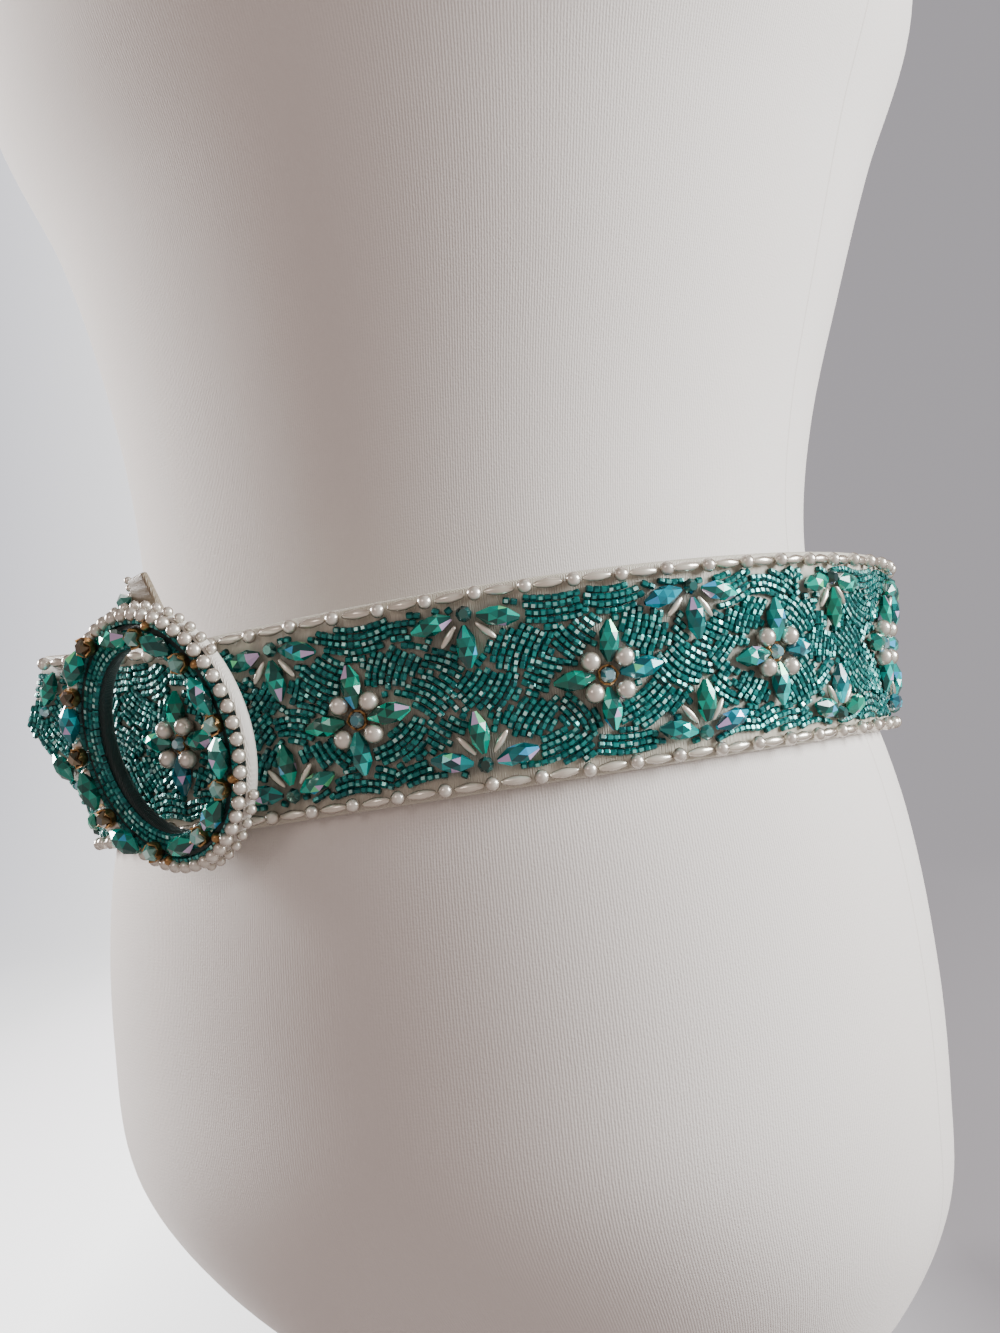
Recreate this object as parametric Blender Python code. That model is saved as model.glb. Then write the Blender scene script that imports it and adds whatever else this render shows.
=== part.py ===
# A beaded belt, closed by its covered ring buckle round a limbless dress form.
# Metres. +X is the wearer's left, -Y the front, +Z up. The form's flat base stands on z = 0.

from bisect import bisect_right
from math import atan2, cos, hypot, pi, radians, sin

import bmesh
import bpy
from mathutils import Vector
from mathutils.geometry import delaunay_2d_cdt

OBJECT_NAME = "beaded_belt_on_dress_form"
PIECE_GAP = 0.0003          # left between pieces that touch
MERGE_DISTANCE = 1e-7       # points of one skin that are closer than this are one

# Dress form: height above the base, half width, half depth, shift of the section to the back
FORM_ROWS = (
    (0.000, 0.0765, 0.0735, 0.0330),
    (0.015, 0.0949, 0.0911, 0.0290),
    (0.050, 0.1180, 0.1133, 0.0150),
    (0.085, 0.1276, 0.1225, 0.0020),
    (0.125, 0.1292, 0.1241, 0.0000),
    (0.170, 0.1257, 0.1207, -0.0003),
    (0.205, 0.1175, 0.1128, 0.0000),
    (0.235, 0.1068, 0.1026, -0.0018),
    (0.260, 0.1056, 0.1014, -0.0020),
    (0.295, 0.1103, 0.1059, 0.0019),
    (0.335, 0.1206, 0.1158, 0.0075),
    (0.375, 0.1333, 0.1280, 0.0110),
    (0.415, 0.1500, 0.1440, 0.0118),
    (0.450, 0.1555, 0.1490, 0.0090),
    (0.485, 0.1565, 0.1465, 0.0075),
    (0.520, 0.1580, 0.1385, 0.0090),
    (0.560, 0.1590, 0.1230, 0.0125),
    (0.598, 0.1515, 0.1040, 0.0140),
    (0.624, 0.1320, 0.0870, 0.0120),
    (0.642, 0.1040, 0.0710, 0.0090),
    (0.657, 0.0770, 0.0600, 0.0060),
    (0.672, 0.0620, 0.0540, 0.0040),
    (0.700, 0.0580, 0.0510, 0.0030),
)
FORM_EXPONENT = 2.1         # of the oval sections, where 2 is an ellipse
FORM_SIDES = 44
FORM_RING_HEIGHTS = (0.000, 0.006, 0.015, 0.030, 0.050, 0.085, 0.125, 0.155, 0.178, 0.192, 0.205,
                     0.219, 0.235, 0.260, 0.295, 0.335, 0.360, 0.385, 0.410, 0.432, 0.455, 0.480,
                     0.505, 0.530, 0.556, 0.580, 0.600, 0.616, 0.630, 0.642, 0.652, 0.662, 0.675,
                     0.700)
FORM_AXIS_Y = -0.0053       # places the whole object's box over the origin
FORM_EDGE_ANGLE = radians(40)         # a sharper edge than this shows as one

# Strap: a satin-covered band, worn low on the waist with its lower edge on the hips
STRAP_WIDTH = 0.0510
STRAP_WALL = 0.0020
STRAP_MIDDLE = 0.2150       # height of the band's middle on the form's axis
REST_GAP = 0.0009           # between the form and the band's lower edge
RISE_TO_BACK = 0.018        # the band climbs this much a metre toward the back
RISE_TO_LEFT = 0.047        # and this much toward the wearer's left
LEAN_FRONT = radians(3.1)   # its upper edge stands out from the form
LEAN_BACK = radians(5.4)
LOOP_STEPS = 480
EDGE_ROUNDS = 4             # to settle the lower edge's height on the form's surface
SLOPE_STEP = 0.001          # to both sides of a place, for the band's direction there
STATION_PITCH = 0.0125      # spacing of the points along the band's edges

# Tail: the free end lies over the bar and the fixed end, and runs straight on to its point
TAIL_LIFT = STRAP_WALL + PIECE_GAP
LIFT_START = 0.0340
LIFT_END = 0.0055
TAIL_RISE = 0.070           # the tail climbs this much a metre toward its point
TAIL_RISE_RUN = 0.020       # over which the climb sets in
TAIL_POINT = (-0.0733, 0.0045)        # along the band, up from its middle
TAIL_TOP_SHOULDER = -0.0615
TAIL_BOTTOM_SHOULDER = -0.0433
TAIL_NAVETTES = ((-0.0580, 0.0160, radians(57)), (-0.0563, -0.0066, radians(-44)))
FIXED_PLAIN = 0.0380        # of the fixed end that the tail covers, left without beads

# Beads: length, width and height of the kinds that stand up from the band
NAVETTE = (0.0110, 0.0050, 0.0036)
OAT = (0.0080, 0.0034, 0.0034)
PEARL = (0.0058, 0.0058, 0.0055)
STONE = (0.0042, 0.0042, 0.0045)
STONE_TABLE = 0.40          # share of a square stone's width that its flat top takes
PEARL_TABLE = 0.50
LONG_SHOULDER = 0.40        # share of a long bead's length where its sides start to close
LONG_RIDGE = 0.45           # share of its length that the ridge takes
FLOWER_REACH = 0.0082       # from a flower's middle to the middle of its navettes
FLOWER_PEARL_REACH = 0.0056
HALF_FLOWER_LINE = 0.0188   # from the band's middle to the middle of a half flower
HALF_FLOWER_REACH = 0.0080
HALF_FLOWER_DROOP = radians(14)
HALF_FLOWER_OATS = (radians(50), radians(130))
FLOWER_PLACES = (-0.0040, 0.0503, 0.1122, 0.1612, 0.2225)
HALF_FLOWER_PLACES = (0.0286, 0.0793, 0.1357, 0.1870)
FLOWER_PITCH = 0.0550

# Edging: a round bead and a long one in turn, strung along both edges of the band
EDGING_LINE = 0.0234        # from the band's middle
TOP_EDGING_START = -0.0613  # along the band, where the first bead of the row begins
BOTTOM_EDGING_START = -0.0381
EDGING_PITCH = 0.0118
# Share of the pitch and radius there, from the neck before the round bead to the long bead
EDGING_BEADS = ((0.000, 0.0007), (0.170, 0.0021), (0.340, 0.0007), (0.670, 0.0017))

# Buckle: an oval ring before the band, on a bar behind the tail. Its top tips forward.
RING_LEAN = radians(11.2)
RING_SHIFT = (0.0009, 0.0036)         # across and up, from the middle of the band over the bar
RING_BACK = 0.0126          # from the band's inner face to the ring's back, in the middle
RING_WALL = 0.0042
RING_HALF_WIDTH = 0.0322
RING_HALF_HEIGHT = 0.0344
WINDOW_HALF_WIDTH = 0.0215
WINDOW_HALF_HEIGHT = 0.0243
RING_SIDES = 44
WINDOW_SIDES = 28
RING_STONES = 10            # navettes, and as many square stones between them
RING_NAVETTE = (0.0106, 0.0054, 0.0042)
RING_SQUARE = (0.0048, 0.0048, 0.0040)
RIM_PEARLS = 50
RIM_PEARL_RADIUS = 0.0020
RIM_NECK_RADIUS = 0.0009    # between two pearls
BAR_HALF_WIDTH = 0.0030
BAR_INNER = 0.0008
BAR_POST = (0.0262, 0.0290)           # from the band's middle, both sides of each end post
CREST_OUTLINE = ((-0.0022, 0.0320), (0.0080, 0.0320), (0.0062, 0.0380), (0.0045, 0.0430),
                 (-0.0022, 0.0418))   # across and up from the ring's middle
CREST_WALL = 0.0022

MATERIALS = {
    "jersey": ((0.86, 0.84, 0.80), 0.95, 0.0),
    "satin": ((0.80, 0.76, 0.68), 0.45, 0.0),
    "beadwork": ((0.05, 0.30, 0.28), 0.30, 0.0),
    "pearl": ((0.88, 0.85, 0.78), 0.25, 0.0),
}


def material(name):
    """The Principled material of one finish, made once."""
    found = bpy.data.materials.get(name)
    if found:
        return found
    color, roughness, metallic = MATERIALS[name]
    made = bpy.data.materials.new(name)
    made.use_nodes = True
    shader = made.node_tree.nodes["Principled BSDF"]
    shader.inputs["Base Color"].default_value = (*color, 1.0)
    shader.inputs["Roughness"].default_value = roughness
    shader.inputs["Metallic"].default_value = metallic
    return made


def add_solid(name, shape, finish, collection, sharp_angle=None):
    """One closed piece from a bmesh, with its faces turned outward."""
    bmesh.ops.recalc_face_normals(shape, faces=shape.faces[:])
    mesh = bpy.data.meshes.new(name)
    shape.to_mesh(mesh)
    shape.free()
    if sharp_angle:
        mesh.shade_smooth()
        mesh.set_sharp_from_angle(angle=sharp_angle)
    mesh.materials.append(material(finish))
    piece = bpy.data.objects.new(name, mesh)
    collection.objects.link(piece)
    return piece


def smooth_step(value):
    """0 below 0, 1 above 1, and an even curve between them."""
    value = min(1.0, max(0.0, value))
    return value * value * (3.0 - 2.0 * value)


def form_section(height):
    """Half width, half depth and shift at one height, on a smooth curve through the rows."""
    rows = FORM_ROWS
    height = min(max(height, rows[0][0]), rows[-1][0])
    i = min(max(bisect_right([row[0] for row in rows], height) - 1, 0), len(rows) - 2)
    low, high = rows[i], rows[i + 1]
    before, after = rows[max(i - 1, 0)], rows[min(i + 2, len(rows) - 1)]
    span = high[0] - low[0]
    t = (height - low[0]) / span
    values = []
    for k in (1, 2, 3):
        slope_low = (high[k] - before[k]) / (high[0] - before[0])
        slope_high = (after[k] - low[k]) / (after[0] - low[0])
        values.append((2 * t**3 - 3 * t**2 + 1) * low[k] + (t**3 - 2 * t**2 + t) * span * slope_low
                      + (3 * t**2 - 2 * t**3) * high[k] + (t**3 - t**2) * span * slope_high)
    return values


def form_point(angle, height, clear=0.0):
    """A point on the form, or just clear of it. The angle runs from the front to the wearer's left."""
    half_width, half_depth, shift = form_section(height)
    across = abs(sin(angle)) / (half_width + clear)
    deep = abs(cos(angle)) / (half_depth + clear)
    radius = (across**FORM_EXPONENT + deep**FORM_EXPONENT) ** (-1.0 / FORM_EXPONENT)
    return Vector((radius * sin(angle), FORM_AXIS_Y + shift - radius * cos(angle), height))


def dress_form(collection):
    """A smooth torso from neck to hips, closed by a flat neck and a flat base."""
    shape = bmesh.new()
    rings = []
    for height in FORM_RING_HEIGHTS:
        angles = [2 * pi * k / FORM_SIDES for k in range(FORM_SIDES)]
        rings.append([shape.verts.new(form_point(angle, height)) for angle in angles])
    for lower, upper in zip(rings, rings[1:]):
        for k in range(FORM_SIDES):
            n = (k + 1) % FORM_SIDES
            shape.faces.new((lower[k], lower[n], upper[n], upper[k]))
    shape.faces.new(rings[0])
    shape.faces.new(rings[-1])
    return add_solid("dress_form", shape, "jersey", collection, FORM_EDGE_ANGLE)


def band_edges(angle):
    """Lower and upper edge of the band's inner face at one angle round the form."""
    edge_height = STRAP_MIDDLE - STRAP_WIDTH / 2
    height = edge_height
    for _ in range(EDGE_ROUNDS):
        lower = form_point(angle, height, REST_GAP)
        height = edge_height + RISE_TO_BACK * (lower.y - FORM_AXIS_Y) + RISE_TO_LEFT * lower.x
    lower.z = height
    lean = LEAN_FRONT * cos(angle / 2) ** 2 + LEAN_BACK * sin(angle / 2) ** 2
    out = Vector((sin(angle), -cos(angle), 0.0))
    upper = lower + STRAP_WIDTH * (sin(lean) * out + cos(lean) * Vector((0.0, 0.0, 1.0)))
    return lower, upper


def measure_loop():
    """Edges of the band once round the form, with the length along its middle to each."""
    edges = [band_edges(2 * pi * k / LOOP_STEPS) for k in range(LOOP_STEPS + 1)]
    lengths = [0.0]
    for (low_a, top_a), (low_b, top_b) in zip(edges, edges[1:]):
        lengths.append(lengths[-1] + ((low_b + top_b) - (low_a + top_a)).length / 2)
    return edges, lengths


LOOP_EDGES, LOOP_LENGTHS = measure_loop()
LOOP_LENGTH = LOOP_LENGTHS[-1]
STRAP_END = LOOP_LENGTH - BAR_HALF_WIDTH - PIECE_GAP


def band_at(along):
    """Lower and upper edge of the inner face, this far along from the front of the buckle."""
    if along <= 0.0:
        lower, upper = (edge.copy() for edge in LOOP_EDGES[0])
        step = Vector((along, 0.0, 0.0))
        lower += step
        upper += step
    else:
        i = min(bisect_right(LOOP_LENGTHS, along) - 1, LOOP_STEPS - 1)
        part = (along - LOOP_LENGTHS[i]) / (LOOP_LENGTHS[i + 1] - LOOP_LENGTHS[i])
        lower = LOOP_EDGES[i][0].lerp(LOOP_EDGES[i + 1][0], part)
        upper = LOOP_EDGES[i][1].lerp(LOOP_EDGES[i + 1][1], part)
    lift = TAIL_LIFT * smooth_step((LIFT_START - along) / (LIFT_START - LIFT_END))
    out = Vector((0.0, -cos(LEAN_FRONT), -sin(LEAN_FRONT))) * lift
    climb = TAIL_RISE * max(0.0, -along) * smooth_step(-along / TAIL_RISE_RUN)
    rise = Vector((0.0, 0.0, climb))
    return lower + out + rise, upper + out + rise


def band_point(along, up, above=0.0):
    """A point of the band: along it, up from its middle, and above its inner face."""
    lower, upper = band_at(along)
    share = 0.5 + up / STRAP_WIDTH
    point = lower.lerp(upper, share)
    if above:
        ahead_low, ahead_top = band_at(along + SLOPE_STEP)
        behind_low, behind_top = band_at(along - SLOPE_STEP)
        run = ahead_low.lerp(ahead_top, share) - behind_low.lerp(behind_top, share)
        point = point + above * run.cross(upper - lower).normalized()
    return point


def bead(kind, across, up, turn):
    """Outline and crown of one raised bead, as flat points with a height each, and its ridge lines."""
    length, width, height = kind
    long_way = Vector((cos(turn), sin(turn)))
    side_way = Vector((-sin(turn), cos(turn)))
    middle = Vector((across, up))

    def spot(x, y):
        return middle + long_way * x * length / 2 + side_way * y * width / 2

    if kind in (STONE, RING_SQUARE):
        corners = ((-1, -1), (1, -1), (1, 1), (-1, 1))
        outline = [spot(x, y) for x, y in corners]
        crown = [(spot(STONE_TABLE * x, STONE_TABLE * y), height) for x, y in corners]
    elif kind == PEARL:
        outline = [spot(cos(pi * k / 3), sin(pi * k / 3)) for k in range(6)]
        thirds = [2 * pi * k / 3 for k in range(3)]
        crown = [(spot(PEARL_TABLE * cos(third), PEARL_TABLE * sin(third)), height) for third in thirds]
    else:
        x = LONG_SHOULDER
        outline = [spot(*at) for at in ((-1, 0), (-x, -1), (x, -1), (1, 0), (x, 1), (-x, 1))]
        crown = [(spot(-LONG_RIDGE, 0), height), (spot(LONG_RIDGE, 0), height)]
    return outline, crown


def flower(along):
    """Four long beads in a cross, four pearls between them and a stone in the middle."""
    beads = [bead(STONE, along, 0.0, 0.0)]
    for quarter in range(4):
        turn = quarter * pi / 2
        beads.append(bead(NAVETTE, along + FLOWER_REACH * cos(turn), FLOWER_REACH * sin(turn), turn))
        turn += pi / 4
        beads.append(bead(PEARL, along + FLOWER_PEARL_REACH * cos(turn),
                          FLOWER_PEARL_REACH * sin(turn), turn))
    return beads


def half_flower(along, side):
    """Three long beads and two slender ones round a stone by one edge. Side is 1 at the top."""
    line = side * HALF_FLOWER_LINE
    beads = [bead(STONE, along, line, pi / 4)]
    near_oat, far_oat = HALF_FLOWER_OATS
    for kind, turn in ((NAVETTE, -HALF_FLOWER_DROOP), (OAT, -near_oat), (NAVETTE, -pi / 2),
                       (OAT, -far_oat), (NAVETTE, HALF_FLOWER_DROOP - pi)):
        turn *= side
        beads.append(bead(kind, along + HALF_FLOWER_REACH * cos(turn),
                          line + HALF_FLOWER_REACH * sin(turn), turn))
    return beads


def repeat_places(places, last):
    """The places that show, then more at an even pitch up to the last."""
    places = list(places)
    while places[-1] + FLOWER_PITCH < last:
        places.append(places[-1] + FLOWER_PITCH)
    return places


def raised_skin(outline, beads, inside=None):
    """Triangles over a flat outline with its beads. Gives points, their heights and triangles."""
    points = list(outline)
    heights = [0.0] * len(points)
    edges = []
    for rim, crown in beads:
        first = len(points)
        points += rim
        heights += [0.0] * len(rim)
        edges += [(first + k, first + (k + 1) % len(rim)) for k in range(len(rim))]
        top = len(points)
        points += [point for point, _ in crown]
        heights += [height for _, height in crown]
        edges += [(top + k, top + (k + 1) % len(crown)) for k in range(len(crown))]
    flat, _, faces, origins, _, _ = delaunay_2d_cdt(points, edges, [], 0, MERGE_DISTANCE)
    levels = [max((heights[k] for k in origin), default=0.0) for origin in origins]
    if inside:
        faces = [face for face in faces if inside(sum((flat[k] for k in face), Vector((0, 0))) / 3)]
    places = {origin[0]: k for k, origin in enumerate(origins) if origin}
    return flat, levels, faces, [places[k] for k in range(len(outline))]


def wall_from_skins(top_skin, bottom_skin, loops, place):
    """A closed wall: raised triangles on one face, plain ones on the other, joined round the loops."""
    shape = bmesh.new()
    rims = []
    for (flat, levels, faces, order), base in ((top_skin, 1.0), (bottom_skin, 0.0)):
        verts = [shape.verts.new(place(point, base, level)) for point, level in zip(flat, levels)]
        for face in faces:
            shape.faces.new([verts[k] for k in face])
        rims.append([verts[k] for k in order])
    for start, count in loops:
        for k in range(count):
            a, b = start + k, start + (k + 1) % count
            shape.faces.new((rims[0][a], rims[0][b], rims[1][b], rims[1][a]))
    loose = [vert for vert in shape.verts if not vert.link_faces]
    bmesh.ops.delete(shape, geom=loose, context="VERTS")
    return shape


def strap(collection):
    """The whole band: from its point over the bar, round the form and back to the bar."""
    half = STRAP_WIDTH / 2

    def stations(first):
        count = round((STRAP_END - first) / STATION_PITCH)
        return [first + (STRAP_END - first) * k / count for k in range(count + 1)]

    outline = [Vector((along, -half)) for along in stations(TAIL_BOTTOM_SHOULDER)]
    outline += [Vector((along, half)) for along in reversed(stations(TAIL_TOP_SHOULDER))]
    outline.append(Vector(TAIL_POINT))
    beads = [bead(NAVETTE, *place) for place in TAIL_NAVETTES]
    last = STRAP_END - FIXED_PLAIN - FLOWER_REACH - NAVETTE[0] / 2
    for along in repeat_places(FLOWER_PLACES, last):
        beads += flower(along)
    for along in repeat_places(HALF_FLOWER_PLACES, last):
        for side in (1, -1):
            beads += half_flower(along, side)

    def place(point, base, level):
        return band_point(point.x, point.y, base * STRAP_WALL + level)

    top_skin = raised_skin(outline, beads)
    bottom_skin = raised_skin(outline, [])
    shape = wall_from_skins(top_skin, bottom_skin, ((0, len(outline)),), place)
    return add_solid("strap", shape, "beadwork", collection)


def bead_string(name, stations, closed, collection):
    """Strung beads as one four-sided tube that swells at each bead. A station is a place, its two
    cross directions and a radius."""
    shape = bmesh.new()
    rings = []
    for place, out, side, radius in stations:
        rings.append([shape.verts.new(place + radius * way) for way in (out, side, -out, -side)])
    pairs = list(zip(rings, rings[1:]))
    if closed:
        pairs.append((rings[-1], rings[0]))
    for one, two in pairs:
        for k in range(4):
            n = (k + 1) % 4
            shape.faces.new((one[k], one[n], two[n], two[k]))
    if not closed:
        shape.faces.new(rings[0])
        shape.faces.new(rings[-1])
    return add_solid(name, shape, "pearl", collection)


def strap_edging(name, side, first, collection):
    """One row of strung beads along the top or the bottom of the band's face."""
    last = STRAP_END - FIXED_PLAIN
    pitches = int((last - first) / EDGING_PITCH)
    seat = STRAP_WALL + PIECE_GAP + max(radius for _, radius in EDGING_BEADS)
    stations = []
    for pitch in range(pitches):
        for share, radius in EDGING_BEADS:
            along = first + (pitch + share) * EDGING_PITCH
            place = band_point(along, side * EDGING_LINE, seat)
            inner = band_point(along, side * EDGING_LINE)
            out = (place - inner).normalized()
            lower, upper = band_at(along)
            stations.append((place, out, (upper - lower).normalized(), radius))
    return bead_string(name, stations, False, collection)


def ring_frame():
    """Middle of the ring's back, and its ways across, up and out."""
    lower, upper = LOOP_EDGES[0]
    across = Vector((1.0, 0.0, 0.0))
    up = Vector((0.0, -sin(RING_LEAN), cos(RING_LEAN)))
    out = Vector((0.0, -cos(RING_LEAN), -sin(RING_LEAN)))
    shift_across, shift_up = RING_SHIFT
    middle = (lower + upper) / 2 + across * shift_across + up * shift_up + out * RING_BACK
    return middle, across, up, out


def oval(half_width, half_height, count):
    """Points of an oval, counterclockwise."""
    return [Vector((half_width * cos(2 * pi * k / count), half_height * sin(2 * pi * k / count)))
            for k in range(count)]


def buckle_ring(collection):
    """The satin-covered ring with its long and square stones raised from the face."""
    middle, across, up, out = ring_frame()
    outline = oval(RING_HALF_WIDTH, RING_HALF_HEIGHT, RING_SIDES)
    outline += oval(WINDOW_HALF_WIDTH, WINDOW_HALF_HEIGHT, WINDOW_SIDES)
    mid_width = (RING_HALF_WIDTH + WINDOW_HALF_WIDTH) / 2 - RIM_PEARL_RADIUS / 2
    mid_height = (RING_HALF_HEIGHT + WINDOW_HALF_HEIGHT) / 2 - RIM_PEARL_RADIUS / 2
    beads = []
    for k in range(2 * RING_STONES):
        angle = pi * (k + 0.5) / RING_STONES
        x, y = mid_width * cos(angle), mid_height * sin(angle)
        turn = atan2(mid_height * cos(angle), -mid_width * sin(angle))
        beads.append(bead(RING_SQUARE if k % 2 else RING_NAVETTE, x, y, turn))

    def in_ring(point):
        return hypot(point.x / WINDOW_HALF_WIDTH, point.y / WINDOW_HALF_HEIGHT) > cos(pi / WINDOW_SIDES)

    def place(point, base, level):
        return middle + across * point.x + up * point.y + out * (base * RING_WALL + level)

    loops = ((0, RING_SIDES), (RING_SIDES, WINDOW_SIDES))
    shape = wall_from_skins(raised_skin(outline, beads, in_ring), raised_skin(outline, [], in_ring),
                            loops, place)
    return add_solid("buckle_ring", shape, "beadwork", collection)


def buckle_edging(collection):
    """The row of round pearls along the ring's outer rim, on its face."""
    middle, across, up, out = ring_frame()
    half_width = RING_HALF_WIDTH - RIM_PEARL_RADIUS / 2
    half_height = RING_HALF_HEIGHT - RIM_PEARL_RADIUS / 2
    stations = []
    for k in range(2 * RIM_PEARLS):
        angle = pi * k / RIM_PEARLS
        radial = (across * cos(angle) * half_height + up * sin(angle) * half_width).normalized()
        place = middle + across * half_width * cos(angle) + up * half_height * sin(angle)
        place += out * (RING_WALL + PIECE_GAP + RIM_PEARL_RADIUS)
        stations.append((place, out, radial, RIM_PEARL_RADIUS if k % 2 else RIM_NECK_RADIUS))
    return bead_string("buckle_edging", stations, True, collection)


def prism(name, outline, place, near, far, finish, collection):
    """A flat outline given a thickness from near to far."""
    shape = bmesh.new()
    face = shape.faces.new([shape.verts.new(place(x, y, near)) for x, y in outline])
    grown = bmesh.ops.extrude_face_region(shape, geom=[face], use_keep_orig=True)
    new_verts = [item for item in grown["geom"] if isinstance(item, bmesh.types.BMVert)]
    bmesh.ops.translate(shape, verts=new_verts, vec=place(0, 0, far) - place(0, 0, near))
    return add_solid(name, shape, finish, collection)


def buckle_bar(collection):
    """The flat bar behind the tail, with an end post above and below the band that carries the ring."""
    lower, upper = LOOP_EDGES[0]
    origin = (lower + upper) / 2
    up = (upper - lower).normalized()
    out = Vector((0.0, -cos(LEAN_FRONT), -sin(LEAN_FRONT)))
    ring_middle, _, _, ring_out = ring_frame()

    def ring_back(height):
        """How far out the ring's back is at this height on the bar."""
        foot = origin + up * height
        return (ring_middle - foot).dot(ring_out) / out.dot(ring_out) - PIECE_GAP

    near, far = BAR_POST
    outline = [(-far, BAR_INNER), (far, BAR_INNER), (far, ring_back(far)), (near, ring_back(near)),
               (near, STRAP_WALL), (-near, STRAP_WALL), (-near, ring_back(-near)),
               (-far, ring_back(-far))]

    def place(height, outward, across):
        return origin + up * height + out * outward + Vector((across, 0.0, 0.0))

    return prism("buckle_bar", outline, place, -BAR_HALF_WIDTH, BAR_HALF_WIDTH, "satin", collection)


def buckle_crest(collection):
    """The peaked tab of satin that stands behind the ring's top."""
    middle, across, up, out = ring_frame()

    def place(x, y, outward):
        return middle + across * x + up * y + out * outward

    far = -PIECE_GAP
    return prism("buckle_crest", CREST_OUTLINE, place, far - CREST_WALL, far, "satin", collection)


def main():
    for old in list(bpy.data.objects):
        bpy.data.objects.remove(old, do_unlink=True)
    collection = bpy.data.collections.new(OBJECT_NAME)
    bpy.context.scene.collection.children.link(collection)
    dress_form(collection)
    strap(collection)
    strap_edging("strap_edging_top", 1, TOP_EDGING_START, collection)
    strap_edging("strap_edging_bottom", -1, BOTTOM_EDGING_START, collection)
    buckle_ring(collection)
    buckle_edging(collection)
    buckle_bar(collection)
    buckle_crest(collection)


main()
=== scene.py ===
from bisect import bisect_right
from math import atan2, cos, pi, radians, sin

import bpy
import bmesh
import numpy as np
from mathutils import Matrix, Vector


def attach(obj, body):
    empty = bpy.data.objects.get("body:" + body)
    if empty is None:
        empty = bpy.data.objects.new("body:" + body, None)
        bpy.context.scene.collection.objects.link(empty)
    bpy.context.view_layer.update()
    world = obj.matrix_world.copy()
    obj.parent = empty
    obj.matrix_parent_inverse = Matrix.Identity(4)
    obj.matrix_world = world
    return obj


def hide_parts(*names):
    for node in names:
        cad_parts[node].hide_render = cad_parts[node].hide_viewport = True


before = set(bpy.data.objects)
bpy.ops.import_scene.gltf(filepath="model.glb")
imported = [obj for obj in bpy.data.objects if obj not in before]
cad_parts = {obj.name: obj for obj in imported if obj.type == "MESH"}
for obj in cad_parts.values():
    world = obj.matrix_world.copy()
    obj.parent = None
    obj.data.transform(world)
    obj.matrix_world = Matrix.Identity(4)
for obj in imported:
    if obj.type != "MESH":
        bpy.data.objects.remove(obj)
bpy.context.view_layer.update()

# Beaded belt on a dress form. Metres, +Z up, -Y the front, +X the wearer's left.

dice = np.random.default_rng(21)

# The form, the band and the ring have the solids' own numbers.
formRows = (  # height, half width, half depth, shift to the back
    (0.000, 0.0765, 0.0735, 0.0330), (0.015, 0.0949, 0.0911, 0.0290), (0.050, 0.1180, 0.1133, 0.0150),
    (0.085, 0.1276, 0.1225, 0.0020), (0.125, 0.1292, 0.1241, 0.0000), (0.170, 0.1257, 0.1207, -0.0003),
    (0.205, 0.1175, 0.1128, 0.0000), (0.235, 0.1068, 0.1026, -0.0018), (0.260, 0.1056, 0.1014, -0.0020),
    (0.295, 0.1103, 0.1059, 0.0019), (0.335, 0.1206, 0.1158, 0.0075), (0.375, 0.1333, 0.1280, 0.0110),
    (0.415, 0.1500, 0.1440, 0.0118), (0.450, 0.1555, 0.1490, 0.0090), (0.485, 0.1565, 0.1465, 0.0075),
    (0.520, 0.1580, 0.1385, 0.0090), (0.560, 0.1590, 0.1230, 0.0125), (0.598, 0.1515, 0.1040, 0.0140),
    (0.624, 0.1320, 0.0870, 0.0120), (0.642, 0.1040, 0.0710, 0.0090), (0.657, 0.0770, 0.0600, 0.0060),
    (0.672, 0.0620, 0.0540, 0.0040), (0.700, 0.0580, 0.0510, 0.0030))
formHeights = [row[0] for row in formRows]
axisY = -0.0053
band = dict(width=0.0510, wall=0.0020, middle=0.2150, restGap=0.0009, riseBack=0.018, riseLeft=0.047,
            leanFront=radians(3.1), leanBack=radians(5.4), steps=480, slopeStep=0.001)
tail = dict(lift=0.0023, liftStart=0.0340, liftEnd=0.0055, rise=0.070, riseRun=0.020,
            point=(-0.0733, 0.0045), topShoulder=-0.0615, bottomShoulder=-0.0433, fixedPlain=0.0380)
buckle = dict(lean=radians(11.2), shiftAcross=0.0009, shiftUp=0.0036, back=0.0126, wall=0.0042,
              halfWidth=0.0322, halfHeight=0.0344, windowWidth=0.0215, windowHeight=0.0246, barHalf=0.0030)


def smoothStep(value):
    value = min(1.0, max(0.0, value))
    return value * value * (3.0 - 2.0 * value)


def formSection(height):
    height = min(max(height, 0.0), formHeights[-1])
    i = min(max(bisect_right(formHeights, height) - 1, 0), len(formRows) - 2)
    low, high = formRows[i], formRows[i + 1]
    before, after = formRows[max(i - 1, 0)], formRows[min(i + 2, len(formRows) - 1)]
    span = high[0] - low[0]
    t = (height - low[0]) / span
    values = []
    for k in (1, 2, 3):
        slopeLow = (high[k] - before[k]) / (high[0] - before[0])
        slopeHigh = (after[k] - low[k]) / (after[0] - low[0])
        values.append((2 * t**3 - 3 * t**2 + 1) * low[k] + (t**3 - 2 * t**2 + t) * span * slopeLow
                      + (3 * t**2 - 2 * t**3) * high[k] + (t**3 - t**2) * span * slopeHigh)
    return values


def formPoint(angle, height, clear=0.0):
    halfWidth, halfDepth, shift = formSection(height)
    across = abs(sin(angle)) / (halfWidth + clear)
    deep = abs(cos(angle)) / (halfDepth + clear)
    radius = (across**2.1 + deep**2.1) ** (-1.0 / 2.1)
    return Vector((radius * sin(angle), axisY + shift - radius * cos(angle), height))


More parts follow.
